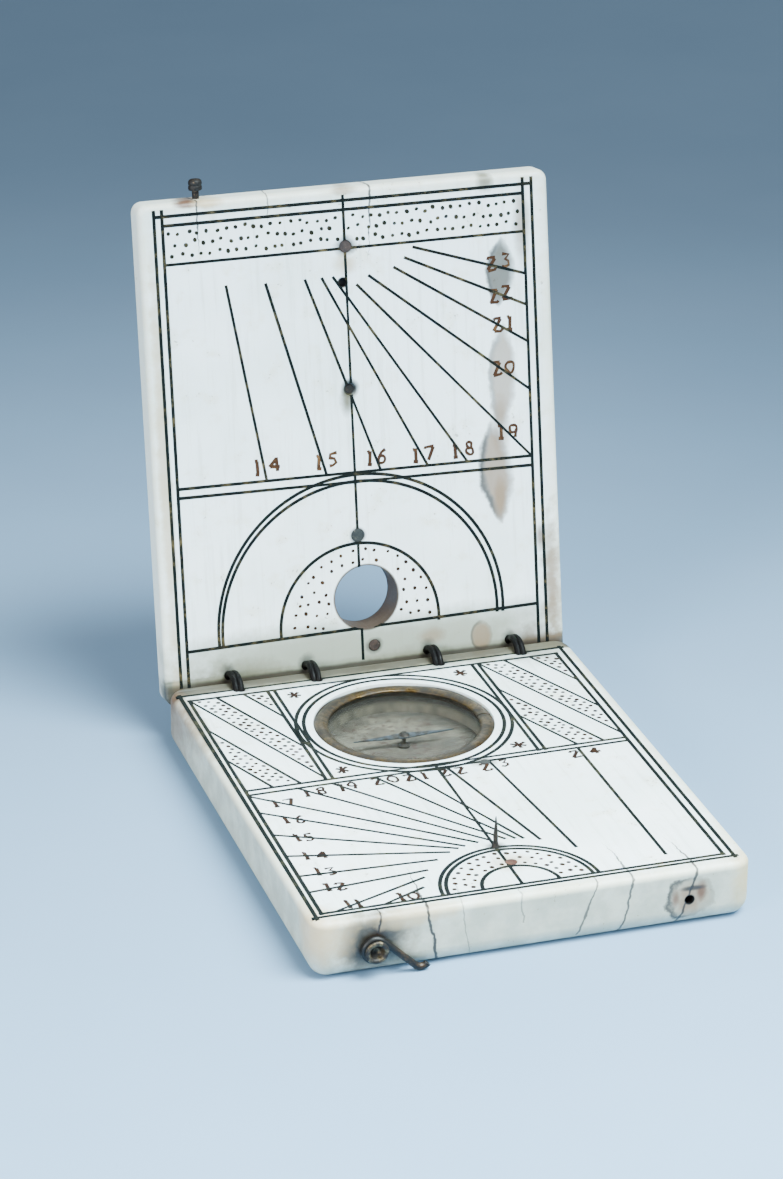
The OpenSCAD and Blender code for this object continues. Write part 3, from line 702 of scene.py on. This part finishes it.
noonPin = {
    "at": (-1.3, -27.6, 0), "steps": 18, "uneven": 0.07, "plain": (0.1, 5.2),
    "profile": ((0, -3.9), (0.44, -3.9), (0.44, -0.02), (0.66, 0.01), (0.6, 0.14), (0.47, 0.34), (0.4, 0.8),
                (0.36, 1.9), (0.29, 3.1), (0.21, 4.2), (0.13, 5.1), (0.07, 5.42), (0, 5.48)),
}


def gnomonPin():
    build = turned(noonPin["profile"], noonPin["steps"])
    low, high = noonPin["plain"]
    wander(build, noonPin["uneven"], 1.4, 5.0, keep=lambda spot: 1.0 if low < spot.z < high else 0.0)
    place(build, "noon_pin", "base", rustMetal, "rusted_iron", onBase @ Matrix.Translation(noonPin["at"]),
          ["gnomon_pin"], 50)


fillings = (  # piece, node, body, place on the leaf, width, finish, slot, seed of its lumps
    ("front_filling", "front_plug", "base", (-0.6, -33.2), 2.1, redFilling, "red_filling", 1.0),
    ("side_filling", "side_plug", "base", (6.9, 1.3), 2.0, greyFilling, "grey_filling", 2.3),
    ("lid_top_filling", "lid_top_plug", "lid", (-0.5, 77.8), 2.3, brownFilling, "brown_filling", 3.1),
    ("lid_middle_filling", "lid_middle_plug", "lid", (-0.7, 26.7), 2.5, greyFilling, "grey_filling", 4.6),
    ("lid_lower_filling", "lid_lower_plug", "lid", (1.4, 6.5), 2.2, brownFilling, "brown_filling", 5.2),
)


def waxFilling(name, node, body, at, across, finish, slot, seed):
    # wax pressed into a bore: a low uneven crown on a plug that is smaller than its hole here and there
    radius = across / 2 - 0.03
    build = turned(((0, -3.9), (radius, -3.9), (radius, -0.1), (radius * 0.93, 0.0), (radius * 0.7, 0.03),
                    (radius * 0.35, 0.0), (0, -0.02)), 28)
    for vert in build.verts:
        if math.hypot(vert.co.x, vert.co.y) > 0.05 and vert.co.z > -0.5:
            push = noise.noise(Vector((vert.co.x, vert.co.y, seed)) * 1.1)
            vert.co.x *= 0.97 + 0.03 * push
            vert.co.y *= 0.97 + 0.03 * push
            vert.co.z += 0.05 * noise.noise(Vector((vert.co.x, vert.co.y, seed)) * 2.5)
    holder = onBase if body == "base" else onLid
    place(build, name, body, finish, slot, holder @ Matrix.Translation((*at, 0)), [node], 40)


rivet = {
    "at": (-26.8, 4.8, 0), "steps": 40, "uneven": 0.09, "shank": 1.45,
    "profile": ((0, -5.9), (0.79, -5.9), (0.79, 0.0), (1.14, 0.02), (1.14, 1.41), (1.8, 1.42), (1.91, 1.5),
                (1.95, 1.68), (1.9, 1.86), (1.76, 1.98), (1.55, 2.03), (1.36, 2.0), (1.2, 1.86),
                (1.08, 1.55), (0.95, 1.15), (0.72, 0.85), (0.4, 0.68), (0, 0.62)),
}


def hookRivet():
    build = turned(rivet["profile"], rivet["steps"])
    wander(build, rivet["uneven"], 0.9, 4.0, keep=lambda spot: 1.0 if spot.z > rivet["shank"] else 0.0)
    place(build, "hollow_rivet", "base", rivetMetal, "stud_brass",
          onFront @ Matrix.Translation(rivet["at"]), ["hook_rivet"], 50)


latch = {"eye": 1.8, "wire": 1.2, "sweep": 296.0, "arm": 7.43, "bend": 1.27, "hold": 96.44, "turn": 46.56,
         "out": 0.7, "sides": 16, "eyeSteps": 40, "armSteps": 14, "bendSteps": 16, "uneven": 0.05}


def latchHook():
    # the wire starts at the open end of the eye, goes round the rivet, down the arm and round the bend
    build = bmesh.new()
    start = (Matrix.Rotation(math.radians(latch["sweep"]), 4, "Z")
             @ Matrix.Translation((latch["eye"], 0, 0)) @ Matrix.Rotation(math.radians(90), 4, "X"))
    bmesh.ops.create_circle(build, cap_ends=True, segments=latch["sides"], radius=latch["wire"] / 2,
                            matrix=start)
    geom = list(build.verts) + list(build.edges) + list(build.faces)
    bend = (latch["eye"] + latch["bend"], -latch["arm"], 0)
    for centre, sweep, steps, drift in (((0, 0, 0), -latch["sweep"], latch["eyeSteps"], (0, 0, 0)),
                                        ((0, 0, 0), 0.0, latch["armSteps"], (0, -latch["arm"], 0)),
                                        (bend, latch["hold"], latch["bendSteps"], (0, 0, 0))):
        geom = drawnOn(build, geom, centre, (0, 0, 1), sweep, steps, drift)
    wander(build, latch["uneven"], 0.8, 6.0)
    x, y, _ = rivet["at"]
    place(build, "latch_wire", "latch", hookMetal, "hook_bronze",
          onFront @ Matrix.Translation((x, y, latch["out"]))
          @ Matrix.Rotation(math.radians(latch["turn"]), 4, "Z"), ["latch_hook"], 60)


stud = {
    "at": (-25.8, leaf["length"], -2.5), "steps": 36, "uneven": 0.08, "shank": 1.45,
    "profile": ((0, -3.9), (0.59, -3.9), (0.59, 1.38), (0.94, 1.41), (1.14, 1.52), (1.2, 1.76),
                (1.17, 2.16), (1.1, 2.26), (1.1, 2.34), (1.17, 2.44), (1.2, 2.72), (1.14, 3.06),
                (0.92, 3.3), (0.5, 3.42), (0, 3.44)),
}


def catchStud():
    build = turned(stud["profile"], stud["steps"])
    wander(build, stud["uneven"], 0.9, 9.0, keep=lambda spot: 1.0 if spot.z > stud["shank"] else 0.0)
    place(build, "hook_stud", "lid", studMetal, "stud_brass",
          onLid @ Matrix.Translation(stud["at"]) @ Matrix.Rotation(math.radians(-90), 4, "X"),
          ["catch_stud"], 50)


gnomonPin()
for filling in fillings:
    waxFilling(*filling)
hookRivet()
latchHook()
catchStud()
print("metalwork and fillings ready")


# punched figures, stars and dots, filled with brown pigment

digits = {  # each stroke's points in a box one high and one wide, and rings as centre and radii
    "0": (("ring", 0, 0, 0.30, 0.38),),
    "1": (((-0.16, 0.42), (0.02, 0.44)), ((0.02, 0.44), (0.02, -0.42)), ((-0.14, -0.42), (0.18, -0.42))),
    "2": (((-0.3, 0.32), (-0.22, 0.44), (0.26, 0.4)), ((0.26, 0.4), (-0.28, -0.4)),
          ((-0.28, -0.4), (0.24, -0.4), (0.32, -0.28))),
    "3": (((-0.28, 0.42), (0.26, 0.42), (-0.02, 0.1), (0.22, -0.06), (0.2, -0.32), (-0.04, -0.44),
           (-0.26, -0.36)),),
    "4": (((0.36, -0.14), (-0.34, -0.14)), ((-0.34, -0.14), (0.14, 0.44)), ((0.14, 0.44), (0.14, -0.44))),
    "5": (((0.28, 0.44), (-0.14, 0.42), (-0.18, 0.08)),
          ((-0.18, 0.08), (0.16, 0.04), (0.24, -0.2), (0.02, -0.42), (-0.24, -0.38))),
    "6": (((0.24, 0.46), (-0.04, 0.3), (-0.22, -0.02)), ("ring", 0, -0.18, 0.24, 0.23)),
    "7": (((-0.28, 0.3), (-0.26, 0.42), (0.28, 0.42)), ((0.28, 0.42), (-0.06, -0.45))),
    "8": (("ring", 0, 0.22, 0.19, 0.19), ("ring", 0, -0.2, 0.25, 0.23)),
    "9": (("ring", 0, 0.14, 0.25, 0.25), ((0.25, 0.05), (0.2, -0.2), (0.08, -0.44))),
}
figures = {"high": 2.65, "wide": 2.5, "stroke": 0.24, "flat": 0.08, "shake": 0.05, "slant": 0.06,
           "ringKnots": 8, "starArms": (35, 95, 150), "starTilt": 8, "starHalf": (1.15, 1.5)}
# each number, and where the middles of its two figures lie on the leaf
baseHours = (("10", (-20.9, -39.0), (-18.8, -39.35)), ("11", (-29.5, -38.8), (-27.8, -39.1)),
             ("12", (-31.0, -32.6), (-28.85, -33.1)), ("13", (-30.9, -27.3), (-28.85, -27.85)),
             ("14", (-31.2, -21.8), (-28.7, -22.3)), ("15", (-30.8, -15.4), (-28.9, -15.9)),
             ("16", (-30.8, -9.0), (-28.6, -9.6)), ("17", (-30.9, -3.2), (-28.5, -3.3)),
             ("18", (-24.9, -1.0), (-22.3, -0.9)), ("19", (-18.9, -0.8), (-16.9, -0.6)),
             ("20", (-12.4, -0.5), (-9.8, -0.4)), ("21", (-7.0, -0.7), (-4.4, -0.7)),
             ("22", (-0.9, -0.7), (2.0, -0.7)), ("23", (6.4, -0.7), (9.8, -0.1)),
             ("24", (22.3, -0.5), (25.8, -0.2)))
lidHours = (("14", (-18.2, 40.7), (-15.1, 41.0)), ("15", (-7.2, 40.4), (-4.65, 40.7)),
            ("16", (2.0, 40.2), (4.3, 40.2)), ("17", (10.4, 39.8), (13.05, 40.0)),
            ("18", (17.7, 39.7), (20.4, 40.0)), ("19", (26.3, 42.2), (28.7, 42.3)),
            ("20", (26.1, 53.6), (28.5, 53.7)), ("21", (26.5, 61.4), (28.7, 61.5)),
            ("22", (26.0, 66.5), (28.4, 66.9)), ("23", (25.8, 72.2), (28.4, 72.7)))
baseStars = ((-16.4, 34.9), (-16.8, 5.3), (13.9, 35.0), (14.3, 5.6))


def figureStrokes(hours, chance):
    shake, slantMost, knots = figures["shake"], figures["slant"], figures["ringKnots"]
    strokes = []
    for text, *centres in hours:
        for figure, (x, y) in zip(text, centres):
            slant = chance.uniform(-slantMost, slantMost)
            for shape in digits[figure]:
                closed = shape[0] == "ring"
                if closed:
                    _, ringX, ringY, ringWide, ringHigh = shape
                    bearings = [step * math.tau / knots for step in range(knots)]
                    shape = [(ringX + ringWide * math.cos(bearing), ringY + ringHigh * math.sin(bearing))
                             for bearing in bearings]
                points = [(across + chance.uniform(-shake, shake), up + chance.uniform(-shake, shake))
                          for across, up in shape]
                strokes.append(([(x + (across + slant * up) * figures["wide"], y + up * figures["high"])
                                 for across, up in points], closed))
    return strokes


def starStrokes(stars, chance):
    strokes = []
    for x, y in stars:
        for bearing in figures["starArms"]:
            tilt = math.radians(bearing + chance.uniform(-figures["starTilt"], figures["starTilt"]))
            half = chance.uniform(*figures["starHalf"])
            armX, armY = half * math.cos(tilt), half * math.sin(tilt)
            strokes.append(([(x - armX, y - armY), (x, y), (x + armX, y + armY)], False))
    return strokes


def inlayStrokes(name, strokes, body, place, finish):
    # each stroke is a thin round curve, pressed flat and sunk until only its top shows
    curve = bpy.data.curves.new(name, "CURVE")
    curve.dimensions = "3D"
    curve.bevel_depth = figures["stroke"]
    curve.bevel_resolution = 1
    curve.resolution_u = 3
    curve.use_fill_caps = True
    for points, closed in strokes:
        spline = curve.splines.new("BEZIER")
        spline.bezier_points.add(len(points) - 1)
        for order, (knot, (x, y)) in enumerate(zip(spline.bezier_points, points)):
            knot.co = (x, y, 0)
            knot.handle_left_type = knot.handle_right_type = "AUTO" if closed else "VECTOR"
            end = not closed and order in (0, len(points) - 1)  # a punch bites deeper at its ends
            knot.radius = 1.35 if end else 0.95 + 0.25 * ((order * 7) % 3) / 2
        spline.use_cyclic_u = closed
    holder = bpy.data.objects.new(name, curve)
    bpy.context.collection.objects.link(holder)
    bpy.context.view_layer.update()
    mesh = bpy.data.meshes.new_from_object(holder.evaluated_get(bpy.context.evaluated_depsgraph_get()))
    bpy.data.objects.remove(holder)
    mesh.transform(toMetres @ place @ Matrix.Diagonal((1, 1, figures["flat"], 1)))
    register(mesh, name, body, finish, (), 60)


dots = {"base": 0.98, "band": 0.9, "window": 0.8, "proud": 0.012, "deep": 0.06, "sides": 8}


def inlayDots(name, places, body, place, finish, across):
    build = bmesh.new()
    chance = random.Random(len(places))
    for x, y in places:
        size = across * chance.uniform(0.85, 1.1) / 2
        spot = (Matrix.Translation((x, y, dots["proud"] - dots["deep"] / 2))
                @ Matrix.Rotation(chance.uniform(0, 1), 4, "Z")
                @ Matrix.Diagonal((1.0, chance.uniform(0.8, 1.2), 1.0, 1.0)))
        bmesh.ops.create_cone(build, cap_ends=True, cap_tris=False, segments=dots["sides"], radius1=size,
                              radius2=size * 0.8, depth=dots["deep"], matrix=spot)
    build.transform(toMetres @ place)
    register(meshFrom(build, name), name, body, finish)


def bandDots(chance):
    # three uneven rows in the band under the lid's free edge, with a gap at the noon line
    places = []
    for high, shift in ((82.9, 0.0), (81.0, 0.5), (79.1, 0.2)):
        for step in range(40):
            x = -31.3 + (step + shift) * 1.62
            if x < 31.4 and abs(x + 0.7) > 0.9:
                places.append((x + chance.uniform(-0.3, 0.3), high + chance.uniform(-0.4, 0.4)))
    return places


def arcDots(chance, centre, arcs, phase, squeeze, stray):
    # half circles of dots about a point, each arc given as its radius and the pitch along it
    places = []
    for radius, pitch in arcs:
        count = int(math.pi * radius / pitch)
        for step in range(count + 1):
            bearing = math.pi * (step + phase(radius)) / count
            x = centre[0] + radius * math.cos(bearing) + chance.uniform(-stray, stray)
            y = centre[1] + radius * math.sin(bearing) * squeeze + chance.uniform(-stray, stray)
            places.append((x, y))
    return places


def windowDots(chance):
    # between the lid's small arc and the sighting aperture, above the ground line
    places = arcDots(chance, (-0.5, 11.4), ((12.2, 2.0), (10.4, 2.1), (8.6, 2.0), (7.0, 2.1)),
                     lambda radius: 0.3 * (radius % 2), 1.02, 0.4)
    return [(x, y) for x, y in places
            if math.hypot(x - 0.3, y - 15.4) > 6.5 and abs(x + 0.7) > 0.6 and y > 10.6]


def frontDots(chance):
    # between the half circles at the front of the base
    places = arcDots(chance, (-1.4, -40.9), ((7.6, 1.75), (9.2, 1.75), (10.8, 1.75)),
                     lambda radius: 0.5 if radius == 9.2 else 0.0, 1.0, 0.25)
    return [(x, y) for x, y in places if y > -39.9 and math.hypot(x + 0.6, y + 33.2) > 1.6]


panels = (  # the two slanting panels beside the compass, left and right
    {"left": -34.3, "right": -20.4, "low": 3.0, "high": 37.7, "slope": -2.45},
    {"left": 18.1, "right": 32.7, "low": 3.2, "high": 37.7, "slope": -2.25},
)
bands = {"wide": 4.8, "filled": (-2, 0, 2), "rows": (0.24, 0.5, 0.76), "pitch": 1.5, "stagger": 0.5,
         "clear": 0.7}


def panelDots(panel, chance):
    # staggered rows in every second slanting band, kept inside the panel's border
    places, clear = [], bands["clear"]
    for band in bands["filled"]:
        for row, across in enumerate(bands["rows"]):
            start = panel["left"] + bands["wide"] * (band + across)
            for step in range(30):
                y = panel["high"] - 0.9 - step * bands["pitch"] - row * bands["stagger"]
                x = start + (y - panel["high"]) / panel["slope"]
                x += chance.uniform(-0.2, 0.2)
                y += chance.uniform(-0.25, 0.25)
                if (panel["left"] + clear < x < panel["right"] - clear
                        and panel["low"] + clear < y < panel["high"] - 0.6):
                    places.append((x, y))
    return places


chance = random.Random(41)
inlayStrokes("base_figures", figureStrokes(baseHours, chance), "base", onBase, brownPigment)
inlayStrokes("base_stars", starStrokes(baseStars, chance), "base", onBase, brownPigment)
inlayStrokes("lid_figures", figureStrokes(lidHours, chance), "lid", onLid, palePigment)
inlayDots("lid_band_dots", bandDots(chance), "lid", onLid, dotPigment, dots["band"])
inlayDots("lid_window_dots", windowDots(chance), "lid", onLid, brownPigment, dots["window"])
inlayDots("base_panel_dots", panelDots(panels[0], chance) + panelDots(panels[1], chance), "base", onBase,
          brownPigment, dots["base"])
inlayDots("base_front_dots", frontDots(chance), "base", onBase, brownPigment, dots["base"])
print("figures, stars and dots ready")


# the nodes that are shown as packed take their finishes, and the well gets its lining

for node, finish in (("compass_glass", oldGlass), ("compass_card", cardPaper),
                     ("compass_pivot", pivotMetal), ("needle_cap", pivotMetal),
                     ("lid_gnomon_stub", rustMetal)):
    dress(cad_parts[node].data, finish)
wellLining()
print("nodes dressed")


# floor, light and camera

studio = {
    "floor": (tone(116, 145, 172), tone(124, 153, 180)), "floorHalf": 3.0,
    "sky": (0.9, 0.95, 1.0, 1), "skyStrength": 0.56,
    "key": {"at": (0.2, -0.34, 0.54), "aim": (0.0, -0.3, 0.0), "size": (0.5, 0.5), "power": 11.4,
            "tint": (0.78, 0.95, 1.0), "spread": 74},
    "left fill": {"at": (-0.6, -0.35, 0.3), "aim": (0, 0, 0.02), "size": (0.4, 0.3), "power": 0.9,
                  "tint": (0.92, 0.98, 1.0), "spread": 50},
}


def floorFinish():
    finish, shader, local = newFinish("pale table paper")
    weave = speckle(local, 0.02, 3, 0.5)
    feed(shader, {"Base Color": mixTone(weave, *studio["floor"]), "Roughness": 0.85,
                  "Specular IOR Level": 0.2})
    return finish


floorBuild = bmesh.new()
bmesh.ops.create_grid(floorBuild, x_segments=4, y_segments=4, size=studio["floorHalf"])
floorMesh = meshFrom(floorBuild, "floor")
floor = bpy.data.objects.new("floor", floorMesh)
floorMesh.materials.append(floorFinish())
bpy.context.collection.objects.link(floor)

sky = bpy.context.scene.world or bpy.data.worlds.new("studio")
bpy.context.scene.world = sky
sky.use_nodes = True
backdrop = sky.node_tree.nodes["Background"]
backdrop.inputs["Color"].default_value = studio["sky"]
backdrop.inputs["Strength"].default_value = studio["skyStrength"]


def softBox(name, at, aim, size, power, tint, spread):
    lamp = bpy.data.lights.new(name, "AREA")
    lamp.shape = "RECTANGLE"
    lamp.size, lamp.size_y = size
    lamp.energy = power
    lamp.color = tint
    lamp.spread = math.radians(spread)
    holder = bpy.data.objects.new(name, lamp)
    holder.location = at
    holder.rotation_euler = (Vector(aim) - Vector(at)).to_track_quat("-Z", "Y").to_euler()
    bpy.context.collection.objects.link(holder)


for lampName in ("key", "left fill"):
    softBox(lampName, **studio[lampName])

# the camera that fits the photograph: focal length and centre in its pixels, place in metres
view = {"focal": 3939.5, "centre": (474.43, 516.51), "size": (783, 1179), "sensor": 36.0,
        "at": (-0.189879, -0.553122, 0.307707),
        "right": (0.946168, -0.323201, 0.017523), "down": (-0.112493, -0.379121, -0.918484),
        "ahead": (0.303498, 0.867069, -0.395070)}
lens = bpy.data.cameras.new("camera")
lens.sensor_width = view["sensor"]
lens.lens = view["focal"] * view["sensor"] / view["size"][1]
lens.shift_x = -(view["centre"][0] - view["size"][0] / 2) / view["size"][1]
lens.shift_y = (view["centre"][1] - view["size"][1] / 2) / view["size"][1]
lens.clip_start, lens.clip_end = 0.01, 20
camera = bpy.data.objects.new("camera", lens)
turn = Matrix((view["right"], -Vector(view["down"]), -Vector(view["ahead"]))).transposed()
camera.matrix_world = Matrix.Translation(view["at"]) @ turn.to_4x4()
bpy.context.collection.objects.link(camera)
bpy.context.scene.camera = camera
print("stage ready")
